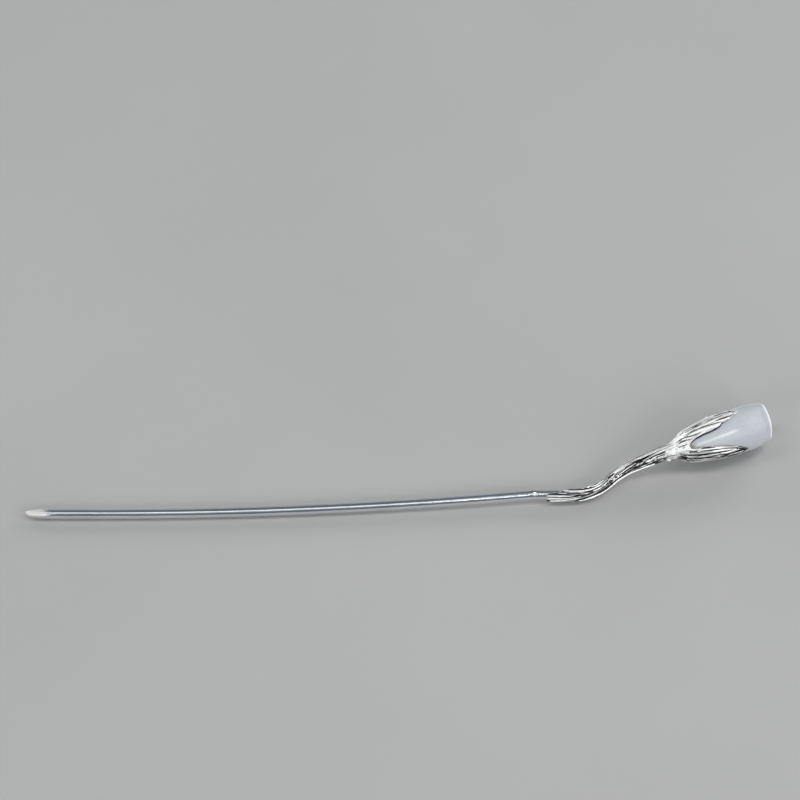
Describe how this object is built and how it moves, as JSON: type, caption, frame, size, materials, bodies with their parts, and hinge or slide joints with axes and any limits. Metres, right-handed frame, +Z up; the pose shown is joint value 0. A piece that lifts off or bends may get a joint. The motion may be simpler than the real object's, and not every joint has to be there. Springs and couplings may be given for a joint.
{
  "type": "hair stick",
  "caption": "Hair stick with a slim tapered silver shaft, a curved bark-covered twig and long sepals that hold a white jade flower bud.",
  "frame": {"origin": "under the middle of the box that the hair stick fills, at the height of the table that it lies on", "axes": "+X runs from the tip towards the bud, +Z is up from the table"},
  "size_m": [0.18, 0.0302, 0.0115],
  "materials": {
    "polished_silver": "polished drawn silver with fine lengthwise scratches and small dents",
    "bark_silver": "cast silver with bright bark ridges and darkened grooves",
    "white_jade": "polished, slightly translucent, faintly mottled"
  },
  "bodies": {
    "root": {"shaft": "polished_silver", "twig_calyx": "bark_silver", "jade_bud": "white_jade"}
  },
  "joints": []
}
